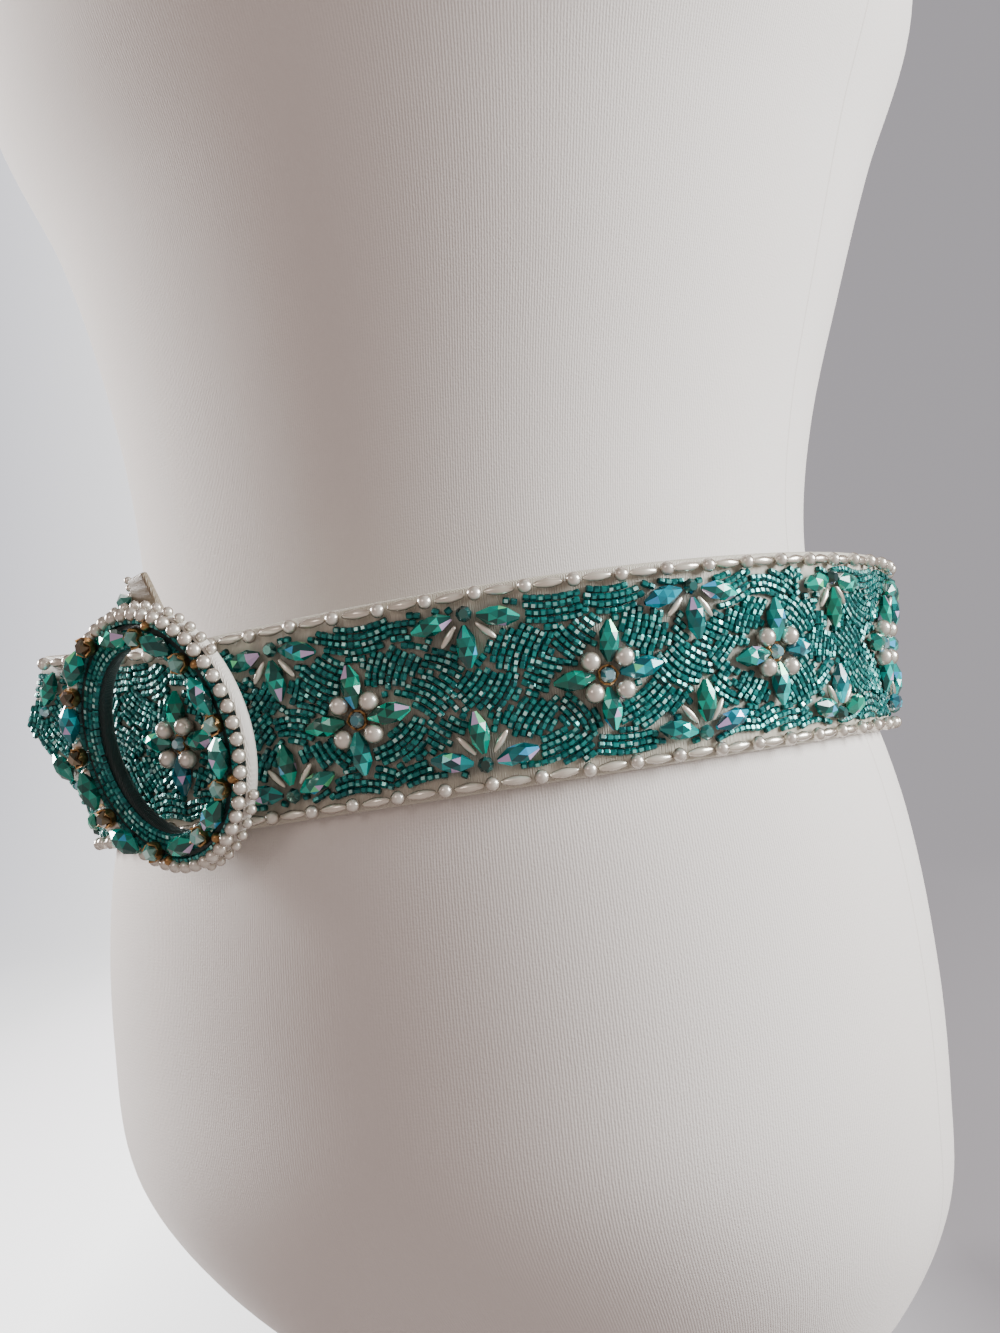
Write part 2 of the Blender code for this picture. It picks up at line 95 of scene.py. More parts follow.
def bandEdges(angle):
    edgeHeight = band["middle"] - band["width"] / 2
    height = edgeHeight
    for _ in range(4):
        lower = formPoint(angle, height, band["restGap"])
        height = edgeHeight + band["riseBack"] * (lower.y - axisY) + band["riseLeft"] * lower.x
    lower.z = height
    lean = band["leanFront"] * cos(angle / 2) ** 2 + band["leanBack"] * sin(angle / 2) ** 2
    out = Vector((sin(angle), -cos(angle), 0.0))
    return lower, lower + band["width"] * (sin(lean) * out + cos(lean) * Vector((0.0, 0.0, 1.0)))


loopEdges = [bandEdges(2 * pi * k / band["steps"]) for k in range(band["steps"] + 1)]
loopLengths = [0.0]
for (lowA, topA), (lowB, topB) in zip(loopEdges, loopEdges[1:]):
    loopLengths.append(loopLengths[-1] + ((lowB + topB) - (lowA + topA)).length / 2)
strapEnd = loopLengths[-1] - buckle["barHalf"] - 0.0003
beadEnd = strapEnd - tail["fixedPlain"]  # the covered end has no beads


def bandAt(along):  # lower and upper edge of the inner face
    if along <= 0.0:
        lower, upper = loopEdges[0][0].copy(), loopEdges[0][1].copy()
        lower.x += along
        upper.x += along
    else:
        i = min(bisect_right(loopLengths, along) - 1, band["steps"] - 1)
        part = (along - loopLengths[i]) / (loopLengths[i + 1] - loopLengths[i])
        lower = loopEdges[i][0].lerp(loopEdges[i + 1][0], part)
        upper = loopEdges[i][1].lerp(loopEdges[i + 1][1], part)
    lift = tail["lift"] * smoothStep((tail["liftStart"] - along) / (tail["liftStart"] - tail["liftEnd"]))
    shift = Vector((0.0, -cos(band["leanFront"]), -sin(band["leanFront"]))) * lift
    shift.z += tail["rise"] * max(0.0, -along) * smoothStep(-along / tail["riseRun"])
    return lower + shift, upper + shift


def bandAxes(along, up):  # a point of the inner face, then the ways along, up and out
    lower, upper = bandAt(along)
    share = 0.5 + up / band["width"]
    aheadLow, aheadTop = bandAt(along + band["slopeStep"])
    behindLow, behindTop = bandAt(along - band["slopeStep"])
    run = (aheadLow.lerp(aheadTop, share) - behindLow.lerp(behindTop, share)).normalized()
    out = run.cross(upper - lower).normalized()
    return lower.lerp(upper, share), run, out.cross(run), out


def bandPlace(along, up, above, turn=0.0, scale=(1, 1, 1), tip=0.0):  # where a bead goes
    foot, run, rise, out = bandAxes(along, up)
    return placeOn(foot, run, rise, out, above, turn, scale, tip)


def placeOn(foot, run, rise, out, above, turn, scale=(1, 1, 1), tip=0.0):
    axes = Matrix((run, rise, out)).transposed().to_4x4()
    spot = Matrix.Translation(foot + out * above)
    return (spot @ axes @ Matrix.Rotation(turn, 4, "Z") @ Matrix.Rotation(tip, 4, "Y")
            @ Matrix.Diagonal((*scale, 1)))


lowFront, topFront = loopEdges[0]
ringUp = Vector((0.0, -sin(buckle["lean"]), cos(buckle["lean"])))
ringOut = Vector((0.0, -cos(buckle["lean"]), -sin(buckle["lean"])))
ringAcross = Vector((1.0, 0.0, 0.0))
ringMiddle = ((lowFront + topFront) / 2 + ringAcross * buckle["shiftAcross"] + ringUp * buckle["shiftUp"]
              + ringOut * buckle["back"])


def ringPlace(x, y, above, turn=0.0, scale=(1, 1, 1), tip=0.0):
    foot = ringMiddle + ringAcross * x + ringUp * y
    return placeOn(foot, ringAcross, ringUp, ringOut, above, turn, scale, tip)


print("paths ready, loop", round(loopLengths[-1], 4))


def deselectAll():
    if bpy.context.object and bpy.context.object.mode != "OBJECT":
        bpy.ops.object.mode_set(mode="OBJECT")
    bpy.ops.object.select_all(action="DESELECT")


def meshPiece(name, points, faces, smooth=True):
    mesh = bpy.data.meshes.new(name)
    mesh.from_pydata([tuple(p) for p in points], [], faces)
    mesh.update()
    if smooth:
        mesh.shade_smooth()
    piece = bpy.data.objects.new(name, mesh)
    bpy.context.scene.collection.objects.link(piece)
    return piece


def loft(name, rings, closeRound=False, capEnds=True):  # rings of equal length become one skin
    count = len(rings[0])
    points = [p for ring in rings for p in ring]
    faces = []
    last = len(rings) if closeRound else len(rings) - 1
    for i in range(last):
        j = (i + 1) % len(rings)
        for k in range(count):
            n = (k + 1) % count
            faces.append((i * count + k, i * count + n, j * count + n, j * count + k))
    if capEnds and not closeRound:
        faces.append(tuple(reversed(range(count))))
        faces.append(tuple((len(rings) - 1) * count + k for k in range(count)))
    return meshPiece(name, points, faces)


def turnOutward(piece):
    shape = bmesh.new()
    shape.from_mesh(piece.data)
    bmesh.ops.recalc_face_normals(shape, faces=shape.faces[:])
    shape.to_mesh(piece.data)
    shape.free()
    piece.data.update()


def takeMould(piece, smooth=False):  # keeps a modelled bead as numbers, then clears it away
    deselectAll()
    piece.select_set(True)
    bpy.context.view_layer.objects.active = piece
    bpy.ops.object.transform_apply(location=True, rotation=True, scale=True)
    turnOutward(piece)
    mesh = piece.data
    mould = dict(points=np.array([v.co[:] for v in mesh.vertices]),
                 faces=[tuple(p.vertices) for p in mesh.polygons],
                 facing=np.array([p.normal.z for p in mesh.polygons]),
                 middle=np.array([p.center.x for p in mesh.polygons]), smooth=smooth)
    bpy.data.objects.remove(piece, do_unlink=True)
    return mould


def layCopies(name, mould, places, paintedLightRule=None):  # one mesh with a bead at every place; the rule, where given, paints highlights and shade on the facets
    grid = np.array([[list(row) for row in place] for place in places])
    points = np.einsum("kij,nj->kni", grid[:, :3, :3], mould["points"]) + grid[:, None, :3, 3]
    size = len(mould["points"])
    faces = [tuple(v + k * size for v in face) for k in range(len(places)) for face in mould["faces"]]
    piece = meshPiece(name, points.reshape(-1, 3), faces, mould["smooth"])
    faceCount = len(mould["faces"])
    beadShade = np.repeat(dice.random(len(places)), faceCount)
    facetShade = dice.random(len(places) * faceCount)
    if paintedLightRule:
        facetShade = paintedLightRule(facetShade.reshape(-1, faceCount), mould).reshape(-1)
    sizes = [len(face) for face in mould["faces"]] * len(places)
    tint = np.stack([beadShade, facetShade, np.zeros(len(sizes)), np.ones(len(sizes))], axis=1)
    layer = piece.data.attributes.new("tint", "FLOAT_COLOR", "CORNER")
    layer.data.foreach_set("color", np.repeat(tint, sizes, axis=0).astype(np.float32).ravel())
    return piece


def finishPiece(piece, finish, slotName, *nodes):
    piece.data.materials.clear()
    piece.data.materials.append(finish)
    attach(piece, "root")
    if nodes:
        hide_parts(*nodes)
    return piece


def threadGrain():  # fine cross weave as a height
    group = bpy.data.node_groups.new("threadGrain", "ShaderNodeTree")
    face = group.interface
    face.new_socket("Vector", in_out="INPUT", socket_type="NodeSocketVector")
    face.new_socket("Threads", in_out="INPUT", socket_type="NodeSocketFloat")
    face.new_socket("Height", in_out="OUTPUT", socket_type="NodeSocketFloat")
    nodes, links = group.nodes, group.links
    given, put = nodes.new("NodeGroupInput"), nodes.new("NodeGroupOutput")
    scaled = nodes.new("ShaderNodeVectorMath")
    scaled.operation = "SCALE"
    links.new(given.outputs["Vector"], scaled.inputs[0])
    links.new(given.outputs["Threads"], scaled.inputs["Scale"])
    parts = nodes.new("ShaderNodeSeparateXYZ")
    links.new(scaled.outputs[0], parts.inputs[0])
    waves = []
    for axis in ("X", "Y"):
        wave = nodes.new("ShaderNodeMath")
        wave.operation = "SINE"
        links.new(parts.outputs[axis], wave.inputs[0])
        waves.append(wave)
    both = nodes.new("ShaderNodeMath")
    both.operation = "ADD"
    links.new(waves[0].outputs[0], both.inputs[0])
    links.new(waves[1].outputs[0], both.inputs[1])
    links.new(both.outputs[0], put.inputs["Height"])
    return group


grainGroup = threadGrain()


class Finish:  # a Principled material and short ways to add to it
    def __init__(self, name, **values):
        self.material = bpy.data.materials.new(name)
        self.material.use_nodes = True
        self.nodes, self.links = self.material.node_tree.nodes, self.material.node_tree.links
        self.shader = self.nodes["Principled BSDF"]
        for key, value in values.items():
            self.shader.inputs[key.replace("_", " ")].default_value = value

    def node(self, kind, **values):
        made = self.nodes.new("ShaderNode" + kind)
        for key, value in values.items():
            setattr(made, key, value)
        return made

    def math(self, operation, first, second=None):
        made = self.node("Math", operation=operation)
        for socket, value in zip(made.inputs, (first, second)):
            if isinstance(value, (int, float)):
                socket.default_value = value
            elif value is not None:
                self.links.new(value, socket)
        return made.outputs[0]

    def ramp(self, value, stops, mode="LINEAR"):
        made = self.node("ValToRGB")
        made.color_ramp.interpolation = mode
        marks = made.color_ramp.elements
        while len(marks) < len(stops):
            marks.new(0.5)
        for mark, (place, color) in zip(marks, stops):
            mark.position = place
            mark.color = (*color, 1.0)
        self.links.new(value, made.inputs[0])
        return made.outputs[0]

    def mix(self, share, first, second, blend="MIX"):
        made = self.node("Mix", data_type="RGBA", blend_type=blend)
        for socket, value in zip((made.inputs[0], made.inputs[6], made.inputs[7]), (share, first, second)):
            if isinstance(value, tuple):
                socket.default_value = (*value, 1.0)
            elif isinstance(value, (int, float)):
                socket.default_value = value
            else:
                self.links.new(value, socket)
        return made.outputs[2]

    def noise(self, scale, detail=3.0, vector=None):
        made = self.node("TexNoise")
        made.inputs["Scale"].default_value = scale
        made.inputs["Detail"].default_value = detail
        self.links.new(vector or self.objectPlace(), made.inputs["Vector"])
        return made.outputs[0]

    def objectPlace(self):
        return self.node("TexCoord").outputs["Object"]

    def tint(self):  # one shade a bead, one a facet
        read = self.node("VertexColor", layer_name="tint")
        parts = self.node("SeparateColor")
        self.links.new(read.outputs["Color"], parts.inputs[0])
        return parts.outputs[0], parts.outputs[1]

    def bump(self, height, distance, strength=1.0):
        made = self.node("Bump")
        made.inputs["Strength"].default_value = strength
        made.inputs["Distance"].default_value = distance
        self.links.new(height, made.inputs["Height"])
        self.links.new(made.outputs[0], self.shader.inputs["Normal"])

    def color(self, value):
        self.links.new(value, self.shader.inputs["Base Color"])

    def rough(self, value):
        self.links.new(value, self.shader.inputs["Roughness"])


def jerseyFinish():
    look = dict(wales=1000.0, courses=1150.0, pale=(0.81, 0.775, 0.745), warm=(0.76, 0.715, 0.68))
    f = Finish("jersey", Roughness=0.92, Sheen_Weight=0.30, Sheen_Roughness=0.45)
    uv = f.node("UVMap", uv_map="cloth")
    parts = f.node("SeparateXYZ")
    f.links.new(uv.outputs[0], parts.inputs[0])
    wale = f.math("SINE", f.math("MULTIPLY", parts.outputs[0], 2 * pi * look["wales"]))
    course = f.math("SINE", f.math("MULTIPLY", parts.outputs[1], 2 * pi * look["courses"]))
    knit = f.math("ADD", f.math("MULTIPLY", wale, 0.22), f.math("MULTIPLY", course, 0.05))
    fuzz = f.noise(1500.0, 2.0)
    slow = f.noise(14.0, 3.0)
    read = f.node("Attribute", attribute_name="seamGap")
    gap = f.math("ABSOLUTE", read.outputs["Fac"])
    groove = f.math("LESS_THAN", gap, 0.00045)
    edge = f.math("LESS_THAN", gap, 0.0040)
    height = f.math("ADD", knit, f.math("MULTIPLY", fuzz, 1.1))
    height = f.math("ADD", height, f.math("MULTIPLY", edge, 0.9))
    height = f.math("SUBTRACT", height, f.math("MULTIPLY", groove, 3.5))
    f.bump(height, 0.00016, 0.55)
    base = f.mix(slow, look["warm"], look["pale"])
    base = f.mix(f.math("MULTIPLY", f.math("GREATER_THAN", fuzz, 0.60), 0.10), base, (0.88, 0.86, 0.83))
    # painted shade darkens the seam's groove
    f.color(f.mix(f.math("MULTIPLY", groove, 0.45), base, (0.50, 0.46, 0.42)))
    return f.material


def satinFinish(name, pale, deep, rough=0.46, second=None):
    f = Finish(name, Sheen_Weight=0.25, Sheen_Roughness=0.35)
    weave = f.node("Group")
    weave.node_tree = grainGroup
    weave.inputs["Threads"].default_value = 14000.0
    f.links.new(f.objectPlace(), weave.inputs["Vector"])
    slow = f.noise(60.0, 3.0)
    cloth = f.mix(slow, deep, pale)
    if second:  # painted shade where the named attribute is high
        attribute, begin, end, paintedShadeTone = second
        read = f.node("Attribute", attribute_name=attribute)
        cloth = f.mix(f.ramp(read.outputs["Fac"], ((begin, (0, 0, 0)), (end, (1, 1, 1)))), cloth, paintedShadeTone)
    f.color(cloth)
    f.rough(f.math("ADD", f.math("MULTIPLY", slow, 0.16), rough - 0.08))
    f.bump(f.math("ADD", weave.outputs[0], f.math("MULTIPLY", slow, 3.0)), 0.00006, 0.6)
    return f.material


def seedGlassFinish():
    f = Finish("seedGlass", Metallic=0.40, Roughness=0.26, Coat_Weight=0.12, Coat_Roughness=0.08)
    bead, facet = f.tint()
    # facet colours: painted highlights on the lit facets, painted shade on the side and under facets, random facet tone
    # between
    facetGlintAndShade = f.ramp(facet, ((0.0, (0.000, 0.050, 0.052)), (0.45, (0.001, 0.175, 0.165)),
                          (0.66, (0.012, 0.310, 0.285)), (0.84, (0.18, 0.60, 0.54)), (1.0, (0.62, 0.96, 0.90))))
    f.color(f.mix(f.ramp(bead, ((0.55, (0, 0, 0)), (1.0, (0.50, 0.50, 0.50)))), facetGlintAndShade, (0.002, 0.085, 0.105)))
    return f.material


def cutGlassFinish():
    f = Finish("cutGlass", Metallic=0.15, Roughness=0.07, IOR=1.52, Coat_Weight=0.6, Coat_Roughness=0.02)
    bead, facet = f.tint()
    deep = f.ramp(bead, ((0.0, (0.00, 0.80, 0.50)), (0.5, (0.00, 0.76, 0.66)), (1.0, (0.00, 0.58, 0.84))))
    # random facets painted bright as glints and inner glow, the rest darker as painted shade
    shine = f.ramp(facet, ((0.0, (0.10, 0.10, 0.11)), (0.25, (0.20, 0.21, 0.21)), (0.50, (0.34, 0.34, 0.34)),
                           (0.72, (0.55, 0.58, 0.56)), (0.85, (1.0, 1.0, 1.0))), "CONSTANT")
    body = f.mix(1.0, deep, shine, "MULTIPLY")
    # rare facets painted with the coloured flash of the coating's reflection
    flash = f.ramp(facet, ((0.0, (0, 0, 0)), (0.93, (0.85, 0.45, 0.88)), (0.96, (0.20, 0.85, 0.30)),
                           (0.98, (0.06, 0.38, 0.85))), "CONSTANT")
    f.color(f.mix(f.math("MULTIPLY", f.math("GREATER_THAN", facet, 0.93), 0.80), body, flash))
    return f.material


def stoneFinish(name, dark, pale):
    f = Finish(name, Metallic=0.35, Roughness=0.06, IOR=1.65, Coat_Weight=1.0, Coat_Roughness=0.02)
    f.shader.inputs["Thin Film Thickness"].default_value = 380.0
    f.shader.inputs["Thin Film IOR"].default_value = 1.8
    f.color(f.mix(f.tint()[1], dark, pale))
    return f.material


def pearlFinish(name, pale, warm):
    f = Finish(name, Metallic=0.45, Roughness=0.27, IOR=1.65, Coat_Weight=1.0, Coat_Roughness=0.05, Coat_IOR=1.9)
    bead, facet = f.tint()
    face = f.node("LayerWeight")
    face.inputs["Blend"].default_value = 0.5
    body = f.mix(f.math("MULTIPLY", bead, 0.7), pale, warm)
    # painted shade darkens each pearl towards its outline
    paintedRimShade = f.ramp(face.outputs["Facing"], ((0.10, (0, 0, 0)), (0.30, (0.35, 0.35, 0.35)), (0.60, (0.95, 0.95, 0.95))))
    f.color(f.mix(paintedRimShade, body, (0.27, 0.215, 0.165)))
    return f.material


def metalFinish():
    f = Finish("antiqueGold", Metallic=1.0)
    worn = f.noise(900.0, 4.0)
    f.color(f.mix(worn, (0.26, 0.12, 0.045), (0.62, 0.40, 0.18)))
    f.rough(f.math("ADD", f.math("MULTIPLY", worn, 0.3), 0.22))
    return f.material


jersey = jerseyFinish()
# painted shade on the satin between the beads, inside the pale border
strapCloth = satinFinish("strapCloth", (0.64, 0.61, 0.52), (0.55, 0.52, 0.43), 0.46,
                         ("border", 0.42, 0.58, (0.40, 0.40, 0.34)))
# beige satin darkened as painted shade, used on the crest
paintedShadeSatin = satinFinish("paintedShadeSatin", (0.30, 0.25, 0.18), (0.20, 0.16, 0.11))
# painted shade on the ring's face and in its window
ringCloth = satinFinish("ringCloth", (0.82, 0.80, 0.75), (0.76, 0.73, 0.67), 0.40,
                        ("paintedRingShade", 0.4, 0.6, (0.006, 0.024, 0.024)))
whiteSatin = satinFinish("whiteSatin", (0.80, 0.77, 0.71), (0.72, 0.69, 0.62), 0.40)
seedGlass = seedGlassFinish()
cutGlass = cutGlassFinish()
mintStone = stoneFinish("mintStone", (0.02, 0.25, 0.22), (0.62, 0.90, 0.84))
darkStone = stoneFinish("darkStone", (0.002, 0.025, 0.030), (0.05, 0.24, 0.23))
iceStone = stoneFinish("iceStone", (0.05, 0.25, 0.33), (0.55, 0.80, 0.90))
smokeStone = stoneFinish("smokeStone", (0.020, 0.010, 0.006), (0.24, 0.15, 0.08))
pearl = pearlFinish("pearl", (0.88, 0.86, 0.77), (0.82, 0.77, 0.66))
ricePearl = pearlFinish("ricePearl", (0.90, 0.87, 0.75), (0.84, 0.78, 0.64))
antiqueGold = metalFinish()
print("materials ready")


def makeForm():
    form = dict(sides=144, rings=170, seamWaist=radians(101), seamTop=radians(93), seamBand=(0.24, 0.50))
    sides = form["sides"]
    heights = sorted({formHeights[-1] * k / form["rings"] for k in range(form["rings"] + 1)}
                     | {0.002, 0.006, 0.010, 0.015})
    rings = [[formPoint(2 * pi * k / sides, z) for k in range(sides)] for z in heights]
    piece = loft("jerseyForm", rings)
    low, high = form["seamBand"]
    seamGap = []
    for z, ring in zip(heights, rings):
        share = smoothStep((z - low) / (high - low))
        seam = form["seamWaist"] + (form["seamTop"] - form["seamWaist"]) * share
        for k, point in enumerate(ring):
            angle = 2 * pi * k / sides
            nearest = min(angle - seam, 2 * pi - angle - seam, key=abs)  # to one side seam or the other
            seamGap.append(nearest * point.xy.length)
    layer = piece.data.attributes.new("seamGap", "FLOAT", "POINT")
    layer.data.foreach_set("value", seamGap)
    uv = piece.data.uv_layers.new(name="cloth")
    for face in piece.data.polygons:
        columns = [v % sides for v in face.vertices]
        wraps = len(columns) == 4 and max(columns) - min(columns) > 1
        for corner, column, vert in zip(face.loop_indices, columns, face.vertices):
            u = 1.0 if wraps and column == 0 else column / sides
            uv.data[corner].uv = (u, piece.data.vertices[vert].co.z)
    piece.data.set_sharp_from_angle(angle=radians(50))
    return finishPiece(piece, jersey, "jersey", "dress_form")


jerseyForm = makeForm()
print("form ready")


def bandLimits(along):  # lowest and highest place of the strap across its width
    half = band["width"] / 2
    pointAt, pointUp = tail["point"]
    low, high = -half, half
    if along < tail["topShoulder"]:
        share = (along - pointAt) / (tail["topShoulder"] - pointAt)
        high = pointUp + (half - pointUp) * max(share, 0.0)
    if along < tail["bottomShoulder"]:
        share = (along - pointAt) / (tail["bottomShoulder"] - pointAt)
        low = pointUp - (half + pointUp) * max(share, 0.0)
    return low, high


def makeStrap():
    cloth = dict(pitch=0.0035, across=8, roundness=0.0006)
    wall = band["wall"]
    start = tail["point"][0] + 0.0003
    count = round((strapEnd - start) / cloth["pitch"])
    places = sorted({start + (strapEnd - start) * k / count for k in range(count + 1)}
                    | {tail["topShoulder"], tail["bottomShoulder"]})
    rings, border, area = [], [], 0.0
    for along in places:
        low, high = bandLimits(along)
        inset = min(cloth["roundness"], (high - low) / 4)
        steps = [low + inset + (high - low - 2 * inset) * k / cloth["across"] for k in range(cloth["across"] + 1)]
        section = [(w, 0.0) for w in steps] + [(high, wall * 0.3), (high, wall * 0.7)]
        section += [(w, wall) for w in reversed(steps)] + [(low, wall * 0.7), (low, wall * 0.3)]
        ring = []
        for w, above in section:
            foot, run, rise, out = bandAxes(along, w)
            ring.append(foot + out * above)
            border.append(100 * min(high - w, w - low))  # centimetres in from the outline
        rings.append(ring)
    for a, b in zip(places, places[1:]):
        (lowA, highA), (lowB, highB) = bandLimits(a), bandLimits(b)
        area += (b - a) * ((highA - lowA) + (highB - lowB)) / 2
    piece = loft("strapSatin", rings)
    turnOutward(piece)
    layer = piece.data.attributes.new("border", "FLOAT", "POINT")
    layer.data.foreach_set("value", border)
    piece.data.set_sharp_from_angle(angle=radians(60))
    return finishPiece(piece, strapCloth, "satin", "strap"), area, strapEnd - start


strapSatin, strapArea, strapLength = makeStrap()
print("strap ready", round(strapLength, 4), round(strapArea, 5))


def seedBead():  # six-sided cut tube, cut apart near the middle of its length, where the painted highlight goes
    bead = dict(radius=0.00089, length=0.00170, endRadius=0.88, middle=0.56)
    deselectAll()
    bpy.ops.mesh.primitive_cylinder_add(vertices=6, radius=bead["radius"], depth=bead["length"],
                                        rotation=(0, pi / 2, 0))
    piece = bpy.context.object
    bpy.ops.object.transform_apply(rotation=True)
    shape = bmesh.new()
    shape.from_mesh(piece.data)
    for side in (1, -1):
        cut = side * bead["length"] / 2 * bead["middle"]
        bmesh.ops.bisect_plane(shape, geom=shape.verts[:] + shape.edges[:] + shape.faces[:],
                               plane_co=(cut, 0, 0), plane_no=(1, 0, 0))
    for vert in shape.verts:
        if abs(vert.co.x) > bead["length"] * 0.49:
            vert.co.yz *= bead["endRadius"]
    shape.to_mesh(piece.data)
    shape.free()
    return takeMould(piece)


def navetteBead(length, width, height, sides=7):  # long cut bead, long facets to the ends, diamonds between
    rows = ((-0.5, 0.24, 0), (-0.21, 0.93, 0), (0.0, 1.0, 1), (0.21, 0.93, 0), (0.5, 0.24, 0))  # place, size, twist
    points, faces = [], []
    for x, size, twist in rows:
        for k in range(sides):
            angle = 2 * pi * (k + 0.5 * twist) / sides
            points.append((x * length, size * cos(angle) * width / 2, size * sin(angle) * height / 2))
    for i in range(len(rows) - 1):
        for k in range(sides):
            a, b = i * sides + k, i * sides + (k + 1) % sides
            c, d = a + sides, b + sides
            if rows[i][2] == rows[i + 1][2]:
                faces.append((a, b, d, c))
            else:
                faces += [(a, b, c), (b, d, c)] if rows[i][2] == 0 else [(a, b, d), (a, d, c)]
    faces += [tuple(reversed(range(sides))), tuple(range(len(points) - sides, len(points)))]
    return takeMould(meshPiece("navetteMould", points, faces, False))


def roundPearl(radius, segments=14, rings=9):
    deselectAll()
    bpy.ops.mesh.primitive_uv_sphere_add(segments=segments, ring_count=rings, radius=radius)
    return takeMould(bpy.context.object, True)


def longPearl(length, width, segments=10, rings=9):  # slimmer to its ends than an ellipsoid
    deselectAll()
    bpy.ops.mesh.primitive_uv_sphere_add(segments=segments, ring_count=rings, radius=0.5,
                                         rotation=(0, pi / 2, 0))
    piece = bpy.context.object
    bpy.ops.object.transform_apply(rotation=True)
    for vert in piece.data.vertices:
        swell = 1.0 - 0.16 * sin(2 * pi * min(abs(vert.co.x), 0.5))
        vert.co = Vector((vert.co.x * length, vert.co.y * width * swell, vert.co.z * width * swell))
    return takeMould(piece, True)


def cutStone(radius, height, sides=8):  # a girdle, sloping crown facets and a flat table
    deselectAll()
    bpy.ops.mesh.primitive_cylinder_add(vertices=sides, radius=radius, depth=height)
    piece = bpy.context.object
    shape = bmesh.new()
    shape.from_mesh(piece.data)
    bmesh.ops.bisect_plane(shape, geom=shape.verts[:] + shape.edges[:] + shape.faces[:],
                           plane_co=(0, 0, 0), plane_no=(0, 0, 1))
    for vert in shape.verts:
        if vert.co.z > height * 0.4:
            vert.co.xy = Matrix.Rotation(pi / sides, 2) @ vert.co.xy * 0.58
        elif vert.co.z < -height * 0.4:
            vert.co.xy *= 0.8
    bmesh.ops.triangulate(shape, faces=[face for face in shape.faces if 0.1 < face.normal.z < 0.95])
    shape.to_mesh(piece.data)
    shape.free()
    return takeMould(piece)


def stoneCup(radius, height, sides=12, prongs=4):  # a low cup with prongs over its rim
    rows = ((0.86, 0.0), (1.0, height * 0.35), (1.06, height), (0.88, height), (0.74, height * 0.5))
    points, faces = [], []
    for i, (size, z) in enumerate(rows):
        for k in range(sides):
            lift = height * 0.55 if i in (2, 3) and k % (sides // prongs) == 0 else 0.0
            angle = 2 * pi * k / sides
            points.append((size * radius * cos(angle), size * radius * sin(angle), z + lift))
    for i in range(len(rows) - 1):
        for k in range(sides):
            n = (k + 1) % sides
            faces.append((i * sides + k, i * sides + n, (i + 1) * sides + n, (i + 1) * sides + k))
    faces += [tuple(reversed(range(sides))), tuple(range(len(points) - sides, len(points)))]
    return takeMould(meshPiece("cupMould", points, faces, False))


seedMould = seedBead()
navetteMould = navetteBead(0.0110, 0.0054, 0.0048)
flowerPearlMould = roundPearl(0.0026, 18, 12)
edgePearlMould = roundPearl(0.0019, 14, 9)
riceMould = longPearl(0.0078, 0.0029)
stoneMould = cutStone(0.0021, 0.0030)
squareMould = cutStone(0.0027, 0.0030, 4)
cupMould = stoneCup(0.0025, 0.0018)
print("moulds ready")


def paintedGlintAndShade(shades, mould):  # painted highlight on the outer middle facets, painted shade on the side facets and deeper painted shade on the facets facing the strap
    lit = (mould["facing"] > 0.6) & (abs(mould["middle"]) < 0.0003)
    side = (mould["facing"] > -0.3) & ~lit
    return np.where(lit, 0.42 + 0.58 * shades**1.1, np.where(side, shades * 0.62, shades * 0.15))


flowers = dict(places=(-0.0040, 0.0503, 0.1122, 0.1612, 0.2225), pitch=0.0550, reach=0.0084,
               pearlReach=0.0057, low=(-0.0005, -0.0026, -0.0010, -0.0004, 0.0))
halves = dict(places=(0.0286, 0.0793, 0.1357, 0.1870), line=0.0186, reach=0.0078, droop=radians(14))


def repeatPlaces(places, pitch, last):
    places = list(places)
    while places[-1] + pitch < last:
        places.append(places[-1] + pitch)
    return places


navettePlaces, flowerPearls, ricePlaces, cups, darkStones, iceStones = [], [], [], [], [], []
footprints = []  # place along, up, half length, half width, turn of each large bead


def wobble(size):
    return float(dice.uniform(-size, size))


def addFlower(along, low):
    navHeight = band["wall"] + 0.0024
    cups.append(bandPlace(along, low, band["wall"]))
    iceStones.append(bandPlace(along, low, band["wall"] + 0.0022, wobble(0.4)))
    footprints.append((along, low, 0.0028, 0.0028, 0.0))
    for quarter in range(4):
        turn = quarter * pi / 2 + wobble(0.10)
        x, y = along + flowers["reach"] * cos(turn), low + flowers["reach"] * sin(turn)
        size = 1.0 + wobble(0.05)
        navettePlaces.append(bandPlace(x, y, navHeight, turn, (size, size, size), wobble(0.08))
                             @ Matrix.Rotation(wobble(0.5), 4, "X"))
        footprints.append((x, y, 0.0062, 0.0030, turn))
        turn = (quarter + 0.5) * pi / 2 + wobble(0.08)
        x, y = along + flowers["pearlReach"] * cos(turn), low + flowers["pearlReach"] * sin(turn)
        flowerPearls.append(bandPlace(x, y, band["wall"] + 0.0029, wobble(3)))
        footprints.append((x, y, 0.0029, 0.0029, 0.0))


def addHalfFlower(along, side):
    line = side * halves["line"] + wobble(0.0004)
    darkStones.append(bandPlace(along, line, band["wall"] + 0.0020, wobble(0.6)))
    footprints.append((along, line, 0.0024, 0.0024, 0.0))
    for kind, turn in (("long", -halves["droop"]), ("rice", -radians(50)), ("long", -pi / 2),
                       ("rice", -radians(130)), ("long", halves["droop"] - pi)):
        turn = side * turn + wobble(0.10)
        reach = halves["reach"] + (0.0003 if kind == "long" else -0.0012)
        x, y = along + reach * cos(turn), line + reach * sin(turn)
        if kind == "long":
            navettePlaces.append(bandPlace(x, y, band["wall"] + 0.0023, turn, (0.97, 0.95, 0.95))
                                 @ Matrix.Rotation(wobble(0.5), 4, "X"))
            footprints.append((x, y, 0.0060, 0.0029, turn))
        else:
            ricePlaces.append(bandPlace(x, y, band["wall"] + 0.0018, turn, (0.86, 0.80, 0.80)))
            footprints.append((x, y, 0.0037, 0.0019, turn))


